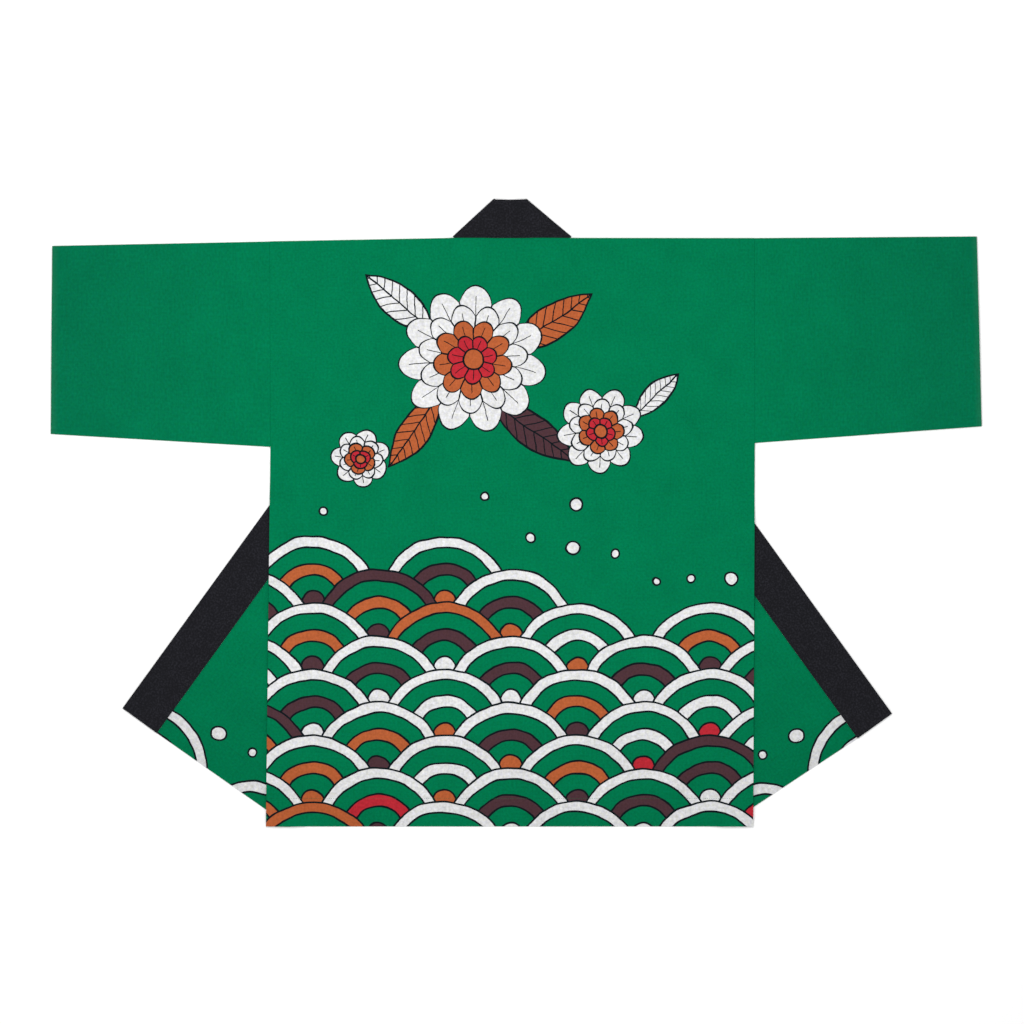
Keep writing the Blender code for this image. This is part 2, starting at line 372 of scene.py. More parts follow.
def lines_over_turned_front(side):
    edge = turned_edge(side)
    return settling_lines(edge, -SETTLE, SETTLE) + settling_lines(edge, BAND_WIDTH, SETTLE)


def lines_beside_crease(side):
    start = -2 * BAND_BULGE - CREASE_SETTLE
    return settling_lines(crease_line(side), start, CREASE_SETTLE)


def fold_lines(line, direction):
    """Lines across the strip of cloth that goes round a fold, on one side of its line."""
    width = direction * FOLD_CLOTH
    return [line.moved(width * step / FOLD_STEPS) for step in range(FOLD_STEPS + 1)]


def grid_over(outline):
    """A grid on whole multiples of GRID over an outline, so that stacked pieces share its points."""
    low = [math.floor(min(corner[i] for corner in outline) / GRID) for i in (0, 1)]
    high = [math.ceil(max(corner[i] for corner in outline) / GRID) for i in (0, 1)]
    across, along = high[0] - low[0], high[1] - low[1]
    cloth = bmesh.new()
    bmesh.ops.create_grid(cloth, x_segments=across, y_segments=along, size=0.5)
    bmesh.ops.scale(cloth, verts=cloth.verts, vec=(across * GRID, along * GRID, 1.0))
    middle = ((low[0] + high[0]) / 2 * GRID, (low[1] + high[1]) / 2 * GRID, 0.0)
    bmesh.ops.translate(cloth, verts=cloth.verts, vec=middle)
    return cloth


def anywhere(point):
    return True


def faces_where(cloth, holds):
    """The faces whose middle passes a test."""
    return [face for face in cloth.faces if holds(face.calc_center_median().to_2d())]


def cut(cloth, line, clear=False, within=anywhere):
    """Cut edges into the cloth along a line, and with clear drop what lies past it.

    Only the faces whose middle is within that test are cut or dropped.
    """
    faces = faces_where(cloth, within)
    edges = {edge for face in faces for edge in face.edges}
    verts = {vert for face in faces for vert in face.verts}
    bmesh.ops.bisect_plane(
        cloth,
        geom=[*verts, *edges, *faces],
        dist=1e-6,
        plane_co=line.point.to_3d(),
        plane_no=line.normal.to_3d(),
    )
    if clear:
        past = faces_where(cloth, lambda point: within(point) and line.distance(point) > 0)
        bmesh.ops.delete(cloth, geom=past, context="FACES")


def cut_edge(cloth, edge, within=anywhere):
    """Drop what lies past an edge, and cut a loop close inside it, which keeps it crisp."""
    cut(cloth, edge, clear=True, within=within)
    cut(cloth, edge.moved(-EDGE_LOOP), within=within)


def cut_outline(outline):
    """A flat piece of cloth with these corners, named anticlockwise."""
    cloth = grid_over(outline)
    for corner, following in zip(outline, outline[1:] + outline[:1]):
        along = Vector(following) - Vector(corner)
        cut_edge(cloth, Line(corner, (along.y, -along.x)))
    return cloth


def widest(side):
    """How far out a side edge reaches at most."""
    return max(side.hem_out, side.armpit[0], side.shoulder[0])


def side_edge(side):
    """The two straight stretches of a side edge, each as (low end, high end): below and above the armpit."""
    hem, armpit, shoulder = Vector((side.hem_out, -BODY_LENGTH)), Vector(side.armpit), Vector(side.shoulder)
    return (hem, armpit), (armpit, shoulder)


def side_edge_out(side, up):
    """How far out the side edge is at a height."""
    low, high = side_edge(side)[up > side.armpit[1]]
    return low.x + (high.x - low.x) * (up - low.y) / (high.y - low.y)


def trim_side(cloth, side, outwards):
    """Cut a side edge, which turns a little at the armpit. Outwards is the sign of X at that edge."""
    armpit_up = side.armpit[1]
    cut(cloth, Line((0.0, armpit_up), (0.0, 1.0)), within=lambda point: point.x * outwards > 0)
    for (low, high), upper in zip(side_edge(side), (-1, 1)):
        along = high - low
        cut_edge(
            cloth,
            Line((low.x * outwards, low.y), (along.y * outwards, -along.x)),
            within=lambda point: point.x * outwards > 0 and (point.y - armpit_up) * upper > 0,
        )


def lay(cloth, place):
    """Keep each point's flat coordinates as the UV map, and move it to its place in the folded coat."""
    bmesh.ops.remove_doubles(cloth, verts=cloth.verts, dist=1e-5)
    flat = cloth.loops.layers.uv.new("cloth")
    for face in cloth.faces:
        for loop in face.loops:
            loop[flat].uv = loop.vert.co.to_2d()
    for vert in cloth.verts:
        vert.co = place(vert.co.to_2d())
        vert.co.z += swell(vert.co)
        vert.co += COAT_PLACE


def show_piece(name, cloth, wall, outside, inside, node):
    """Make the object of a placed middle surface, whose faces point to the outside of the coat."""
    mesh = bpy.data.meshes.new(name)
    cloth.to_mesh(mesh)
    cloth.free()
    mesh.materials.append(outside)
    mesh.materials.append(inside)
    mesh.shade_smooth()
    piece = bpy.data.objects.new(name, mesh)
    bpy.context.scene.collection.objects.link(piece)
    shell = piece.modifiers.new("wall", "SOLIDIFY")
    shell.thickness = wall
    shell.offset = 0.0
    shell.use_even_offset = True
    shell.material_offset = 1
    rim = piece.modifiers.new("rounded_rim", "BEVEL")
    rim.width = wall * RIM_SHARE
    rim.segments = RIM_STEPS
    rim.limit_method = "ANGLE"
    rim.angle_limit = RIM_CORNER
    rim.harden_normals = True
    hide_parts(node)
    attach(piece, "root")
    return piece


def round_fold(foot, outwards, turned, high, low, bulge):
    """A point of the round edge that joins a high layer to a low one, turned from 0 to 1."""
    angle = math.pi * turned
    beside = foot + outwards * bulge * math.sin(angle)
    return Vector((beside.x, beside.y, high + (low - high) * (1 - math.cos(angle)) / 2))


def place_on_front(side, point, wall, bulge):
    """The place of a point of a front, or of its band, once the front is folded."""
    crease = crease_line(side)
    over = -crease.distance(point)
    if over <= 0:
        laid = point.to_3d()
        laid.z = height_on_turned_front(side, point) + wall / 2
    else:
        foot = point + crease.normal * over
        high = height_on_turned_front(side, foot) + wall / 2
        turned = min(over / FOLD_CLOTH, 1.0)
        laid = round_fold(foot, -crease.normal, turned, high, wall / 2, bulge)
        laid += crease.normal.to_3d() * max(over - FOLD_CLOTH, 0.0)
    laid.x *= side.sign
    return laid


def cut_folds_of_front(cloth, side):
    """The points round the crease, and those over the turned half's edges."""
    crease = crease_line(side)
    for line in fold_lines(crease, -1):
        cut(cloth, line)
    for line in lines_over_turned_front(side):
        cut(cloth, line, within=lambda point: crease.distance(point) > 0)


def face_outwards(cloth, side):
    """Turn a front's faces to the outside of the coat, which is down where it isn't folded."""
    if side.sign > 0:
        bmesh.ops.reverse_faces(cloth, faces=cloth.faces)


def make_front(side, outside, inside):
    """One front, from the side seam to the seam of the band, where it is a little longer than the back."""
    inner, out = side.neck + SEWN_GAP, widest(side)
    foot, side_foot = -BODY_LENGTH - side.front_drop, -BODY_LENGTH + side.side_rise
    cloth = cut_outline([(inner, foot), (out, side_foot), (out, side.shoulder[1]), (inner, -GAP / 2)])
    trim_side(cloth, side, 1)
    cut_folds_of_front(cloth, side)
    crease = crease_line(side)
    cut(cloth, crease.moved(SEAM_NOTCH))
    beside_seam = Line((inner + SEAM_NOTCH, 0.0), (-1.0, 0.0))
    cut(
        cloth,
        beside_seam,
        clear=True,
        within=lambda point: -FOLD_CLOTH < crease.distance(point) < SEAM_NOTCH,
    )
    lay(cloth, lambda point: place_on_front(side, point, CLOTH, CLOTH_BULGE))
    face_outwards(cloth, side)
    node = f"front_{side.name}"
    return show_piece(f"{node}_cloth", cloth, CLOTH, outside, inside, node)


def make_front_band(side, cotton):
    """The stretch of the collar band on a front's edge, from its mitre at the neck to the hem."""
    free = side.neck - BAND_WIDTH
    seam = side.neck - SEWN_GAP
    top = NECK_RISE - BAND_TRIM
    foot = -BODY_LENGTH - side.front_drop
    cloth = cut_outline([(free, foot), (seam, foot), (seam, top), (free, top)])
    cut(cloth, mitre_line(side).moved(-GAP - BAND / 4), clear=True)
    cut_folds_of_front(cloth, side)
    lay(cloth, lambda point: place_on_front(side, point, BAND, BAND_BULGE))
    face_outwards(cloth, side)
    node = f"collar_{side.name}"
    return show_piece(f"{node}_cloth", cloth, BAND, cotton, cotton, node)


def side_of(point):
    """The side that a point of the view lies on, and the point as that side's own."""
    side = LEFT if point.x < 0 else RIGHT
    return side, Vector((abs(point.x), point.y))


def cut_lines_under_back(cloth):
    """The points where the back and the neck stretch come down off the layers under them."""
    cut(cloth, Line((0.0, 0.0), (1.0, 0.0)))
    for side in SIDES:
        crease = crease_line(side).on_side(side)
        for line in lines_beside_crease(side):
            cut(cloth, line.on_side(side), within=lambda point: point.x * side.sign > 0)
        for line in lines_over_turned_front(side):
            cut(cloth, line.on_side(side), within=lambda point: crease.distance(point) > 0)


def place_on_top(point, wall):
    side, own = side_of(point)
    return Vector((point.x, point.y, height_under_back(side, own) + wall / 2))


def sewn_thickness(point):
    """How far the turned hem and the seam allowances lift the back."""
    side, own = side_of(point)
    to_seam = side_edge_out(side, own.y) - own.x
    over_hem = smooth((-BODY_LENGTH + HEM_DEPTH - own.y) / EDGE_LOOP)
    over_seam = smooth((ALLOWANCE - to_seam) / EDGE_LOOP)
    return HEM_RISE * over_hem + SEAM_RISE * over_seam


def place_back(point):
    laid = place_on_top(point, CLOTH)
    laid.z += sewn_thickness(point)
    return laid


def make_back(outside, inside):
    """The back, from the neck and shoulder seams to the hem."""
    cloth = cut_outline([
        (-widest(LEFT), -BODY_LENGTH),
        (widest(RIGHT), -BODY_LENGTH),
        (widest(RIGHT), RIGHT.shoulder[1]),
        (RIGHT.neck, -SEWN_GAP),
        (-LEFT.neck, -SEWN_GAP),
        (-widest(LEFT), LEFT.shoulder[1]),
    ])
    for edge in (0.0, EDGE_LOOP):
        cut(cloth, Line((0.0, -BODY_LENGTH + HEM_DEPTH - edge), (0.0, 1.0)))
    for side in SIDES:
        trim_side(cloth, side, side.sign)
        for inset in (ALLOWANCE, ALLOWANCE - EDGE_LOOP):
            cut(cloth, Line((side.armpit[0] - inset, 0.0), (1.0, 0.0)).on_side(side))
        for line in settling_lines(Line((side.neck, 0.0), (1.0, 0.0)), 0.0, SETTLE):
            cut(cloth, line.on_side(side), within=lambda point: point.y > -3 * SETTLE)
        cut(cloth, crease_line(side).on_side(side))
    cut_lines_under_back(cloth)
    lay(cloth, place_back)
    return show_piece("back_cloth", cloth, CLOTH, outside, inside, "back")


def place_on_neck(point):
    """The neck stretch lies on top, and its mitred ends turn under to meet the bands of the fronts."""
    side, own = side_of(point)
    mitre = mitre_line(side)
    over = mitre.distance(own)
    if over <= 0:
        return place_on_top(point, BAND)
    foot = own - mitre.normal * over
    high = height_under_back(side, foot) + BAND / 2
    low = height_on_turned_front(side, foot) + BAND / 2
    laid = round_fold(foot, mitre.normal, over / FOLD_CLOTH, high, low, BAND_BULGE)
    laid.x *= side.sign
    return laid


def make_neck_band(cotton):
    """The stretch of the collar band behind the neck, between the two mitres."""
    left, right = (side.neck + 2 * FOLD_CLOTH for side in SIDES)
    low, high = SEWN_GAP, NECK_RISE
    cloth = cut_outline([(-left, low), (right, low), (right, high), (-left, high)])
    for side in SIDES:
        mitre = mitre_line(side)
        for line in fold_lines(mitre, 1):
            cut(cloth, line.on_side(side), within=lambda point: point.x * side.sign > 0)
        cut(cloth, mitre.moved(FOLD_CLOTH).on_side(side), clear=True)
        end = Line((side.neck, low), (side.neck - side.mitre_top, -NECK_RISE)).on_side(side)
        turned = mitre.on_side(side)
        cut(cloth, end, clear=True, within=lambda point: turned.distance(point) > 0)
    cut_lines_under_back(cloth)
    lay(cloth, place_on_neck)
    return show_piece("collar_neck_cloth", cloth, BAND, cotton, cotton, "collar_neck")


def sleeve_section():
    """Rows of a flattened tube as (share from underarm to shoulder, steps round a fold, top layer)."""
    columns = [column / SLEEVE_COLUMNS for column in range(SLEEVE_COLUMNS + 1)]
    rounds = [step / FOLD_STEPS for step in range(1, FOLD_STEPS)]
    under = [(share, 0.0) for share in columns]
    shoulder = [(1.0, turned) for turned in rounds]
    over = [(share, 1.0) for share in reversed(columns)]
    underarm = [(0.0, 1.0 - turned) for turned in rounds]
    return under + shoulder + over + underarm + under[:1]


def place_on_sleeve(side, outwards, share, turned):
    """A point of the sleeve: its share of the way to the cuff and to the shoulder fold, and its layer."""
    gap = Vector((SEWN_GAP, 0.0))
    armhole = Vector(side.armpit) + gap, Vector(side.shoulder) + gap
    cuff = Vector(side.cuff_foot), Vector(side.cuff_top)
    rim = CLOTH_BULGE + CLOTH / 2
    foot, top = (armhole[i].lerp(cuff[i], outwards) for i in (0, 1))
    up = (top - foot).normalized()
    middle = (foot + up * rim).lerp(top - up * rim, share)
    loft = CUFF_LOFT * smooth(outwards) * math.sin(math.pi * share) ** 2
    high = CLOTH * 1.5 + GAP + loft
    fold_side = up if share == 1.0 else -up
    laid = round_fold(middle, fold_side, 1.0 - turned, high, CLOTH / 2, CLOTH_BULGE)
    laid.x *= side.sign
    return laid


def make_sleeve(side, outside, inside):
    """One sleeve: a tube flattened between its shoulder fold and its underarm seam, open at the cuff."""
    section = sleeve_section()
    cloth = bmesh.new()
    bmesh.ops.create_grid(cloth, x_segments=SLEEVE_STATIONS, y_segments=len(section) - 1, size=0.5)
    flat = cloth.loops.layers.uv.new("cloth")
    length = side.cuff_foot[0] - side.hem_out
    round_cloth = 2 * (side.cuff_top[1] - side.cuff_foot[1])
    for face in cloth.faces:
        for loop in face.loops:
            loop[flat].uv = ((loop.vert.co.x - 0.5) * length, (loop.vert.co.y + 0.5) * round_cloth)
    for vert in cloth.verts:
        share, turned = section[round((vert.co.y + 0.5) * (len(section) - 1))]
        vert.co = place_on_sleeve(side, vert.co.x + 0.5, share, turned)
        vert.co.z += swell(vert.co)
        vert.co += COAT_PLACE
    bmesh.ops.remove_doubles(cloth, verts=cloth.verts, dist=1e-5)
    bmesh.ops.recalc_face_normals(cloth, faces=cloth.faces)
    name = f"sleeve_{side.name}"
    return show_piece(f"{name}_cloth", cloth, CLOTH, outside, inside, name)


class Value:
    """A socket of a material's node tree, so that shader maths is written as Python."""

    def __init__(self, stuff, socket):
        self.stuff = stuff
        self.socket = socket

    def maths(self, operation, *others):
        return self.stuff.node("ShaderNodeMath", dict(enumerate((self, *others))), operation=operation)

    def __add__(self, other):
        return self.maths("ADD", other)

    def __sub__(self, other):
        return self.maths("SUBTRACT", other)

    def __mul__(self, other):
        return self.maths("MULTIPLY", other)

    def __truediv__(self, other):
        return self.maths("DIVIDE", other)

    def __mod__(self, other):
        return self.maths("FLOORED_MODULO", other)

    def __lt__(self, other):
        return self.maths("LESS_THAN", other)

    def __gt__(self, other):
        return self.maths("GREATER_THAN", other)

    def __rsub__(self, other):
        return self.maths("MULTIPLY_ADD", -1.0, other)

    def __abs__(self):
        return self.maths("ABSOLUTE")

    __radd__ = __add__
    __rmul__ = __mul__


class Stuff:
    """A material and its node tree."""

    def __init__(self, name):
        self.material = bpy.data.materials.new(name)
        self.material.use_nodes = True
        self.tree = self.material.node_tree
        self.shader = self.tree.nodes["Principled BSDF"]

    def node(self, kind, values, output=0, stops=None, **settings):
        """Add a node with its settings, feed its sockets and give one of its outputs."""
        made = self.tree.nodes.new(kind)
        for setting, value in settings.items():
            setattr(made, setting, value)
        for place, colour in stops or ():
            made.color_ramp.elements.new(place).color = (*colour, 1.0)
        if stops:
            made.color_ramp.interpolation = "CONSTANT"
            made.color_ramp.elements.remove(made.color_ramp.elements[-1])
            made.color_ramp.elements.remove(made.color_ramp.elements[0])
        for name, value in values.items():
            self.feed(made.inputs[name], value)
        return Value(self, made.outputs[output])

    def feed(self, socket, value):
        if isinstance(value, Value):
            self.tree.links.new(value.socket, socket)
        elif isinstance(value, tuple) and len(value) == 3 and socket.type == "RGBA":
            socket.default_value = (*value, 1.0)
        else:
            socket.default_value = value

    def finish(self, **values):
        """Feed the shader's own sockets, named with underscores for spaces, and give the material."""
        for name, value in values.items():
            self.feed(self.shader.inputs[name.replace("_", " ")], value)
        return self.material

    def mixed(self, share, below, above):
        values = {0: share, 6: below, 7: above}
        return self.node("ShaderNodeMix", values, output=2, data_type="RGBA")

    def dye_by(self, key, shares):
        """The dye whose share a number from 0 to 1 falls in."""
        stops = [(start, DYES[dye]) for start, dye in shares]
        return self.node("ShaderNodeValToRGB", {0: key}, stops=stops)

    def flat_place(self):
        """The cloth's flat coordinates: across and along, in metres."""
        place = self.node("ShaderNodeUVMap", {}, uv_map="cloth")
        across = self.node("ShaderNodeSeparateXYZ", {"Vector": place}, output="X")
        along = self.node("ShaderNodeSeparateXYZ", {"Vector": place}, output="Y")
        return across, along

    def noise(self, across, along, scale, detail=2.0):
        place = self.node("ShaderNodeCombineXYZ", {"X": across, "Y": along})
        values = {"Vector": place, "Scale": scale, "Detail": detail}
        return self.node("ShaderNodeTexNoise", values, output=0, noise_dimensions="2D")

    def chance(self, first, second):
        """A fixed random number for each pair of whole numbers."""
        place = self.node("ShaderNodeCombineXYZ", {"X": first, "Y": second})
        return self.node("ShaderNodeTexWhiteNoise", {"Vector": place}, noise_dimensions="2D")


def reach(across, along):
    """The distance from the middle of a motif."""
    return (across * across + along * along).maths("SQRT")


def weave(stuff, across, along):
    """The height of plain weave: each yarn passes over one and under the next."""
    warp = (across * (math.pi / YARN)).maths("SINE")
    weft = (along * (math.pi / YARN)).maths("SINE")
    return warp * weft


def slubs(stuff, across, along):
    """Thicker stretches of single yarns, along both directions of the cloth."""
    long_way = stuff.noise(across * SLUB_ACROSS, along * SLUB_ALONG, 1.0)
    short_way = stuff.noise(across * SLUB_ALONG, along * SLUB_ACROSS, 1.0)
    return (long_way + short_way) * 0.5


def crest_height(across, crest):
    """How high the waves stand at a place across the cloth."""
    height, mounds = crest
    for rise, quickness, start in mounds:
        height = (across * quickness + start).maths("SINE") * rise + height
    return height


def wave_rows(stuff, across, along, ground, crest):
    """Scallops of waves over the hem, each with bands of dye, as high as the crest allows."""
    radius = WAVE_RADIUS
    step = radius / 2
    row_here = (along / step).maths("FLOOR")

    def scallop(row):
        shifted = across - (row % 2.0) * radius
        column = (shifted / (2 * radius) + 0.5).maths("FLOOR")
        away = reach(shifted - column * (2 * radius), along - row * step)
        middle = column * (2 * radius) + (row % 2.0) * radius
        shown = (away < radius) * (row * step < crest_height(middle, crest))
        return away, shown, stuff.chance(row, column)

    colour = ground
    for row in (row_here + 1.0, row_here, row_here - 1.0):
        away, shown, chance = scallop(row)
        from_rim = (radius - away) * (1 / WAVE_SPACING)
        band = from_rim.maths("FLOOR")
        across_band = from_rim % 1.0
        key = (chance + band * BAND_STEP) % 1.0
        dyed = stuff.dye_by(key, WAVE_DYES)
        rim = stuff.dye_by((chance * 5.0) % 1.0, RIM_DYES)
        banded = stuff.mixed(band < 0.5, dyed, rim)
        banded = stuff.mixed(across_band < DYED_SHARE, DYES["green"], banded)
        to_outer_line = 0.5 - abs(across_band - 0.5)
        to_line = to_outer_line.maths("MINIMUM", abs(across_band - DYED_SHARE)) * WAVE_SPACING
        lined = (to_line < LINE / 2) * (away > LINE)
        lined = lined.maths("MAXIMUM", radius - away < LINE)
        colour = stuff.mixed(shown, colour, stuff.mixed(lined, banded, DYES["line"]))
    return colour


def spray(stuff, across, along, ground, crest):
    """Round drops thrown up over the waves."""
    column = (across / SPRAY_CELL).maths("FLOOR")
    row = (along / SPRAY_CELL).maths("FLOOR")
    chance = stuff.chance(column, row)
    side_chance = stuff.chance(row + 40.0, column)
    middle_across = (column + 0.25 + chance * 0.5) * SPRAY_CELL
    middle_along = (row + 0.25 + side_chance * 0.5) * SPRAY_CELL
    away = reach(across - middle_across, along - middle_along)
    above = middle_along - crest_height(middle_across, crest)
    low, high = SPRAY_BAND
    near = (above > low) * (above < high) * ((chance * 7.0) % 1.0 > 1 - SPRAY_SHARE)
    smallest, largest = DROP_SIZES
    size = smallest + (chance * 13.0) % 1.0 * (largest - smallest)
    colour = stuff.mixed((away < size + LINE) * near, ground, DYES["line"])
    return stuff.mixed((away < size) * near, colour, DYES["white"])


def petal_ring(stuff, away, turn, colour, radius, petals, dye):
    """A ring of rounded petals with dark lines between them, laid over what is there."""
    share = (turn * (petals / (2 * math.pi))) % 1.0 - 0.5
    edge = (1.0 - share * share * PETAL_FALL) * radius
    inside = edge - away
    breadth = away * (2 * math.pi / petals)
    to_side = (0.5 - abs(share)) * breadth
    rib = (abs(share) * breadth < PETAL_RIB) * (away < edge * RIB_REACH)
    colour = stuff.mixed(inside > -LINE / 2, colour, DYES["line"])
    return stuff.mixed((inside > PETAL_LINE) * (to_side > PETAL_LINE) * (1.0 - rib), colour, dye)


def flower(stuff, across, along, colour, motif):
    """A many-petalled flower: white petals, then orange, then red, round an orange eye."""
    x, y = across - motif.out, along - motif.up
    away = reach(x, y)
    turn = y.maths("ARCTAN2", x) + (math.pi + motif.turn)
    for share, fewer, offset, dye in PETAL_RINGS:
        petals = motif.petals - fewer
        shifted = turn + offset * 2 * math.pi / petals
        colour = petal_ring(stuff, away, shifted, colour, motif.size * share, petals, DYES[dye])
    eye = motif.size * EYE_SHARE
    colour = stuff.mixed(away < eye + LINE, colour, DYES["line"])
    return stuff.mixed(away < eye, colour, DYES["orange"])


def leaf(stuff, across, along, colour, motif):
    """A pointed leaf with a dark rib down its middle."""
    x, y = across - motif.out, along - motif.up
    cos, sin = math.cos(motif.angle), math.sin(motif.angle)
    length = x * cos + y * sin
    breadth = abs(y * cos - x * sin)
    share = length * (2 / motif.length)
    inside = (1.0 - share * share) * (motif.width / 2) - breadth
    veins = ((length - breadth * VEIN_SLANT) * (VEINS / motif.length)) % 1.0
    inner, outer = LEAF_EDGE
    colour = stuff.mixed(inside > -outer, colour, DYES["line"])
    filled = (inside > inner) * (breadth > LEAF_RIB) * (veins > VEIN_SHARE)
    return stuff.mixed(filled, colour, DYES[motif.dye])


def back_print(stuff, across, along):
    colour = spray(stuff, across, along, DYES["green"], BACK_CREST)
    colour = wave_rows(stuff, across, along, colour, BACK_CREST)
    for motif in LEAVES:
        colour = leaf(stuff, across, along, colour, motif)
    for motif in FLOWERS:
        colour = flower(stuff, across, along, colour, motif)
    return colour


def front_print(stuff, across, along):
    colour = spray(stuff, across, along, DYES["green"], FRONT_CREST)
    return wave_rows(stuff, across, along, colour, FRONT_CREST)


def cuff_fade_and_pale_edge(stuff, across, along):
    """Plain green that fades towards the cuff, where across is 0, and is paler at its very edge."""
    from_body = (across * (1 / SLEEVE_FADE) + 1.0).maths("MAXIMUM", 0.0).maths("MINIMUM", 1.0)
    faded = stuff.mixed(from_body, DYES["green"], DYES["sleeve"])
    # The colour turns paler within a few millimetres of the cuff's edge
    near_cuff = (across * (1 / CUFF_PALE_REACH) + 1.0).maths("MAXIMUM", 0.0)
    return stuff.mixed(near_cuff * CUFF_PALING, faded, DYES["white"])


def cotton(name, design, pale=0.0, hem_shade=0.0):
    """Printed cotton, darkened towards the hem by painted shade.

    The wrong side shows the dyes paler, as they come through the cloth.
    """
    stuff = Stuff(name)
    across, along = stuff.flat_place()
    bleed = stuff.noise(across, along, BLEED_SPOTS, 3.0) * BLEED
    wander = bleed + stuff.noise(across, along, DRIFT_SPOTS[0]) * DRIFT
    drift = stuff.noise(along, across, DRIFT_SPOTS[1]) * DRIFT
    colour = design(stuff, across + wander - (BLEED + DRIFT) / 2, along + drift - DRIFT / 2)
    slub = slubs(stuff, across, along)
    mottle = stuff.noise(across, along, MOTTLE_SPOTS, 4.0)
    grain = stuff.noise(across, along, GRAIN_SPOTS, 3.0)
    tone = LEAST_TONE + slub * SLUB_TONE + mottle * MOTTLE_TONE + grain * GRAIN_TONE
    light_dye = stuff.node("ShaderNodeSeparateColor", {0: colour}) * 1.4
    blotch = stuff.noise(along, across, BLOTCH_SPOTS, 4.0) - 0.5
    tint = stuff.noise(along + 3.0, across, TINT_SPOTS, 3.0) - 0.5
    # Painted shade: the cloth's colour is darkened towards the hem
    near_hem = (along * (-1 / HEM_SHADE_REACH) - (BODY_LENGTH / HEM_SHADE_REACH - 1)).maths("MAXIMUM", 0.0)
    patchy_and_shaded = tone * (1.0 - light_dye * blotch * LIGHT_BLOTCH) * (1.0 - near_hem * hem_shade)
    blue_tone = patchy_and_shaded * (1.0 - tint * BLUE_TINT)
    toned = stuff.node(
        "ShaderNodeMix",
        {0: 1.0, 6: colour, 7: stuff.node("ShaderNodeCombineColor", {0: patchy_and_shaded, 1: patchy_and_shaded, 2: blue_tone})},
        output=2,
        data_type="RGBA",
        blend_type="MULTIPLY",
    )
    if pale:
        toned = stuff.mixed(pale, toned, DYES["wrong_side"])
    height = weave(stuff, across, along) * WEAVE_SHARE + slub
    relief = {"Height": height, "Distance": YARN_HEIGHT, "Strength": PRINTED_RELIEF}
    bump = stuff.node("ShaderNodeBump", relief)
    roughness = 0.78 + mottle * 0.14
    return stuff.finish(
        Base_Color=toned,
        Roughness=roughness,
        Normal=bump,
        Specular_IOR_Level=0.01,
        Sheen_Weight=0.008,
        Sheen_Roughness=0.5,
    )


def collar_cotton():
    """Closely woven black cotton, a little worn to grey along its yarns."""
    stuff = Stuff("collar_black_cotton")
    across, along = stuff.flat_place()
    slub = slubs(stuff, across, along)
    mottle = stuff.noise(across, along, BLACK_MOTTLE_SPOTS, 5.0)
    grain = stuff.noise(across, along, BLACK_GRAIN_SPOTS, 3.0)
    share = slub * SLUB_WEAR + mottle * MOTTLE_WEAR + grain * GRAIN_WEAR - UNWORN
    colour = stuff.mixed(share, DYES["collar"], DYES["collar_worn"])
    height = weave(stuff, across, along) * WEAVE_SHARE + slub
    relief = {"Height": height, "Distance": YARN_HEIGHT, "Strength": BLACK_RELIEF}
    bump = stuff.node("ShaderNodeBump", relief)
    return stuff.finish(
        Base_Color=colour,
        Roughness=0.74 + mottle * 0.16,
        Normal=bump,
        Specular_IOR_Level=0.04,
        Sheen_Weight=0.008,
        Sheen_Roughness=0.5,
    )


def thread(name, dye):
    """Twisted sewing thread, with painted shade in the grooves between its plies."""
    stuff = Stuff(name)
    place = stuff.node("ShaderNodeTexCoord", {}, output="Object")
    turns = {"Vector": place, "Scale": THREAD_TURNS, "Distortion": 2.0}
    ply = stuff.node("ShaderNodeTexWave", turns, output=1)
    # Painted shade: the grooves of the twist are darker than the dye
    groove_shade = tuple(part * THREAD_SHADE for part in dye)
    return stuff.finish(Base_Color=stuff.mixed(ply, groove_shade, dye), Roughness=0.8, Specular_IOR_Level=0.05)


def pale_floor():
    stuff = Stuff("pale_floor")
    place = stuff.node("ShaderNodeTexCoord", {}, output="Object")
    grain = stuff.node("ShaderNodeTexNoise", {"Vector": place, "Scale": 60.0})
    return stuff.finish(Base_Color=(0.97, 0.97, 0.97), Roughness=0.9 + grain * 0.05)


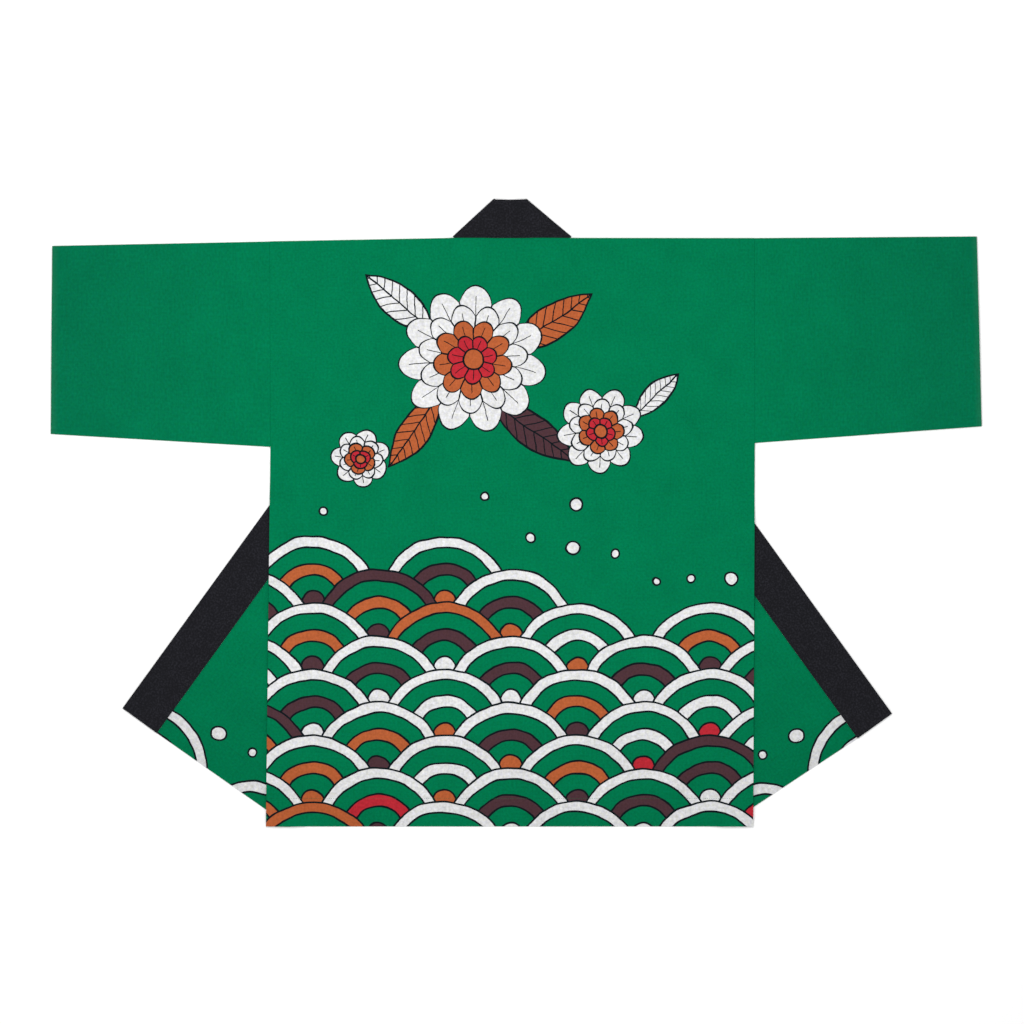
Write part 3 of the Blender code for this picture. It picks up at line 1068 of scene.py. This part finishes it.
def stitch_tree():
    """Stitches along rows of joined points, each row showing on both faces of the cloth."""
    tree = bpy.data.node_groups.new("rows_of_stitches", "GeometryNodeTree")
    sockets = {}
    for name, kind in (
        ("Rows", "NodeSocketGeometry"),
        ("Spacing", "NodeSocketFloat"),
        ("Length", "NodeSocketFloat"),
        ("Lift", "NodeSocketFloat"),
        ("Seed", "NodeSocketInt"),
        ("Thread", "NodeSocketMaterial"),
    ):
        sockets[name] = tree.interface.new_socket(name, in_out="INPUT", socket_type=kind).identifier
    tree.interface.new_socket("Stitches", in_out="OUTPUT", socket_type="NodeSocketGeometry")

    def node(kind, values, **settings):
        made = tree.nodes.new(kind)
        for setting, value in settings.items():
            setattr(made, setting, value)
        for name, value in values.items():
            if isinstance(value, bpy.types.NodeSocket):
                tree.links.new(value, made.inputs[name])
            else:
                made.inputs[name].default_value = value
        return made

    given = node("NodeGroupInput", {}).outputs
    curve = node("GeometryNodeMeshToCurve", {"Mesh": given["Rows"]}).outputs["Curve"]
    points = node("GeometryNodeResampleCurve", {"Curve": curve, "Length": given["Spacing"]}, mode="LENGTH")
    tangent = node("GeometryNodeInputTangent", {}).outputs["Tangent"]
    turn = node("FunctionNodeAlignRotationToVector", {"Vector": tangent}, axis="X").outputs["Rotation"]
    uneven = node(
        "FunctionNodeRandomValue",
        {0: LEAST_STITCH, 1: MOST_STITCH, "Seed": given["Seed"]},
        data_type="FLOAT_VECTOR",
    ).outputs[0]
    grain = node("GeometryNodeMeshUVSphere", {"Segments": 6, "Rings": 4, "Radius": 0.5}).outputs["Mesh"]
    faces = []
    for direction in (1.0, -1.0):
        lift = node("ShaderNodeMath", {0: given["Lift"], 1: direction}, operation="MULTIPLY").outputs[0]
        shift = node("ShaderNodeCombineXYZ", {"Z": lift}).outputs[0]
        sizes = {"X": given["Length"], "Y": STITCH_WIDTH, "Z": STITCH_HEIGHT}
        size = node("ShaderNodeCombineXYZ", sizes).outputs[0]
        shaped = node("GeometryNodeTransform", {"Geometry": grain, "Translation": shift, "Scale": size})
        faces.append(shaped.outputs["Geometry"])
    stitch = node("GeometryNodeJoinGeometry", {}).inputs["Geometry"]
    for face in faces:
        tree.links.new(face, stitch)
    placed = node(
        "GeometryNodeInstanceOnPoints",
        {
            "Points": points.outputs["Curve"],
            "Instance": stitch.node.outputs["Geometry"],
            "Rotation": turn,
            "Scale": uneven,
        },
    )
    real = node("GeometryNodeRealizeInstances", {"Geometry": placed.outputs["Instances"]})
    sewn = node(
        "GeometryNodeSetMaterial",
        {"Geometry": real.outputs["Geometry"], "Material": given["Thread"]},
    )
    node("NodeGroupOutput", {"Stitches": sewn.outputs["Geometry"]})
    return tree, sockets


def sew(name, rows, wall, thread_stuff):
    """Sew rows, each a list of points on the middle of the cloth, and give the stitches as a mesh."""
    tree, sockets = STITCHES
    mesh = bpy.data.meshes.new(f"{name}_rows")
    points = [point for row in rows for point in row]
    edges = []
    start = 0
    for row in rows:
        edges += [(start + i, start + i + 1) for i in range(len(row) - 1)]
        start += len(row)
    mesh.from_pydata(points, edges, [])
    guide = bpy.data.objects.new(f"{name}_rows", mesh)
    bpy.context.scene.collection.objects.link(guide)
    sewing = guide.modifiers.new("stitches", "NODES")
    sewing.node_group = tree
    settings = {
        "Spacing": STITCH_SPACING,
        "Length": STITCH_LENGTH,
        "Lift": wall / 2,
        "Seed": len(points),
        "Thread": thread_stuff,
    }
    for setting, value in settings.items():
        sewing[sockets[setting]] = value
    seen = guide.evaluated_get(bpy.context.evaluated_depsgraph_get())
    stitches = bpy.data.meshes.new_from_object(seen)
    stitches.name = name
    bpy.data.objects.remove(guide)
    sewn = bpy.data.objects.new(name, stitches)
    bpy.context.scene.collection.objects.link(sewn)
    stitches.shade_smooth()
    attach(sewn, "root")
    return sewn


def row_between(start, end, place):
    """Points from start to end on the flat cloth, moved to their place in the coat."""
    start, end = Vector(start), Vector(end)
    count = max(2, round((end - start).length / ROW_POINT_SPACING))
    row = []
    for step in range(count + 1):
        laid = place(start.lerp(end, step / count))
        laid.z += swell(laid)
        row.append(laid + COAT_PLACE)
    return row


def rows_across_crease(side, start, end, place):
    """A straight row on a front, broken where the cloth goes round the crease."""
    crease = crease_line(side)
    start, end = Vector(start), Vector(end)
    near, far = crease.distance(start), crease.distance(end)
    rows = []
    for low, high in ((-math.inf, -FOLD_CLOTH - STITCH_LENGTH), (STITCH_LENGTH, math.inf)):
        shares = sorted(min(max((edge - near) / (far - near), 0.0), 1.0) for edge in (low, high))
        if (shares[1] - shares[0]) * (end - start).length > 2 * ROW_POINT_SPACING:
            rows.append(row_between(start.lerp(end, shares[0]), start.lerp(end, shares[1]), place))
    return rows


def sew_back_hem(thread_stuff):
    up = -BODY_LENGTH + HEM_DEPTH
    row = row_between((-LEFT.hem_out + STITCH_INSET, up), (RIGHT.hem_out - STITCH_INSET, up), place_back)
    return sew("back_hem_stitches", [row], CLOTH, thread_stuff)


def sew_front_hem(side, thread_stuff):
    up = -BODY_LENGTH + HEM_DEPTH
    start, end = (side.neck + 2 * STITCH_INSET, up), (side.hem_out - STITCH_INSET, up)
    rows = rows_across_crease(side, start, end, lambda p: place_on_front(side, p, CLOTH, CLOTH_BULGE))
    return sew(f"front_{side.name}_hem_stitches", rows, CLOTH, thread_stuff)


def sew_band(side, thread_stuff):
    seam = side.neck - GAP - STITCH_INSET
    start, end = (seam, -BODY_LENGTH + STITCH_INSET), (seam, -STITCH_INSET)
    rows = rows_across_crease(side, start, end, lambda p: place_on_front(side, p, BAND, BAND_BULGE))
    return sew(f"collar_{side.name}_stitches", rows, BAND, thread_stuff)


def sew_neck(thread_stuff):
    up = SEWN_GAP + STITCH_INSET
    start, end = (-LEFT.neck + 2 * STITCH_INSET, up), (RIGHT.neck - 2 * STITCH_INSET, up)
    row = row_between(start, end, place_on_neck)
    return sew("collar_neck_stitches", [row], BAND, thread_stuff)


def sew_cuff(side, thread_stuff):
    """A row round the cuff's hem, on the upper and on the lower layer."""
    length = side.cuff_foot[0] - side.hem_out
    outwards = 1 - CUFF_HEM / length
    rows = []
    for layer in (0.0, 1.0):
        row = []
        for column in range(SLEEVE_COLUMNS + 1):
            share = min(max(column / SLEEVE_COLUMNS, 0.01), 0.99)
            laid = place_on_sleeve(side, outwards, share, layer)
            laid.z += swell(laid)
            row.append(laid + COAT_PLACE)
        rows.append(row)
    return sew(f"sleeve_{side.name}_cuff_stitches", rows, CLOTH, thread_stuff)


def make_floor():
    mesh = bpy.data.meshes.new("floor")
    plane = bmesh.new()
    bmesh.ops.create_grid(plane, x_segments=1, y_segments=1, size=FLOOR_REACH)
    bmesh.ops.translate(plane, verts=plane.verts, vec=(0.0, 0.0, -FLOOR_DROP))
    plane.to_mesh(mesh)
    plane.free()
    mesh.materials.append(pale_floor())
    floor = bpy.data.objects.new("floor", mesh)
    bpy.context.scene.collection.objects.link(floor)
    return floor


def make_camera():
    """A long lens straight above the coat, framed as the photograph is."""
    data = bpy.data.cameras.new("camera")
    data.sensor_width = SENSOR_WIDTH
    data.lens = SENSOR_WIDTH * CAMERA_HEIGHT / VIEW_WIDTH
    data.clip_end = CAMERA_REACH
    camera = bpy.data.objects.new("camera", data)
    camera.location = (*VIEW_CENTRE, CAMERA_HEIGHT)
    bpy.context.scene.collection.objects.link(camera)
    bpy.context.scene.camera = camera


def make_light():
    """Soft studio light: a pale room, and a soft lamp over the upper left, far from the cuffs and hem."""
    world = bpy.data.worlds.new("pale_room")
    world.use_nodes = True
    world.node_tree.nodes["Background"].inputs["Color"].default_value = (1.0, 1.0, 1.0, 1.0)
    world.node_tree.nodes["Background"].inputs["Strength"].default_value = ROOM_LIGHT
    bpy.context.scene.world = world
    lamp = bpy.data.lights.new("soft_lamp", "AREA")
    lamp.shape = "SQUARE"
    lamp.size = LAMP_WIDTH
    lamp.energy = LAMP_WATTS
    holder = bpy.data.objects.new("soft_lamp", lamp)
    holder.location = LAMP_PLACE
    holder.visible_camera = False
    bpy.context.scene.collection.objects.link(holder)
    bpy.context.scene.view_settings.view_transform = "Standard"


STITCHES = stitch_tree()


def main():
    make_camera()
    make_light()
    floor = make_floor()
    # The back and the fronts get painted shade towards the hem
    body_print = cotton("back_printed_cotton", back_print, hem_shade=BACK_HEM_SHADE)
    body_inside = cotton("back_wrong_side", back_print, pale=WRONG_SIDE_PALE)
    side_print = cotton("front_printed_cotton", front_print, hem_shade=FRONT_HEM_SHADE)
    side_inside = cotton("front_wrong_side", front_print, pale=WRONG_SIDE_PALE)
    sleeve_cotton = cotton("sleeve_green_cotton", cuff_fade_and_pale_edge)
    sleeve_inside = cotton("sleeve_wrong_side", cuff_fade_and_pale_edge, pale=WRONG_SIDE_PALE)
    black = collar_cotton()
    green_thread = thread("green_thread", DYES["thread"])
    black_thread = thread("black_thread", DYES["collar"])

    fronts, bands = {}, {}
    for side in SIDES:
        fronts[side.name] = make_front(side, side_print, side_inside)
        sew_front_hem(side, green_thread)
        bands[side.name] = make_front_band(side, black)
        sew_band(side, black_thread)
        sleeve = make_sleeve(side, sleeve_cotton, sleeve_inside)
        sew_cuff(side, green_thread)
    back = make_back(body_print, body_inside)
    sew_back_hem(green_thread)
    neck = make_neck_band(black)
    sew_neck(black_thread)


main()
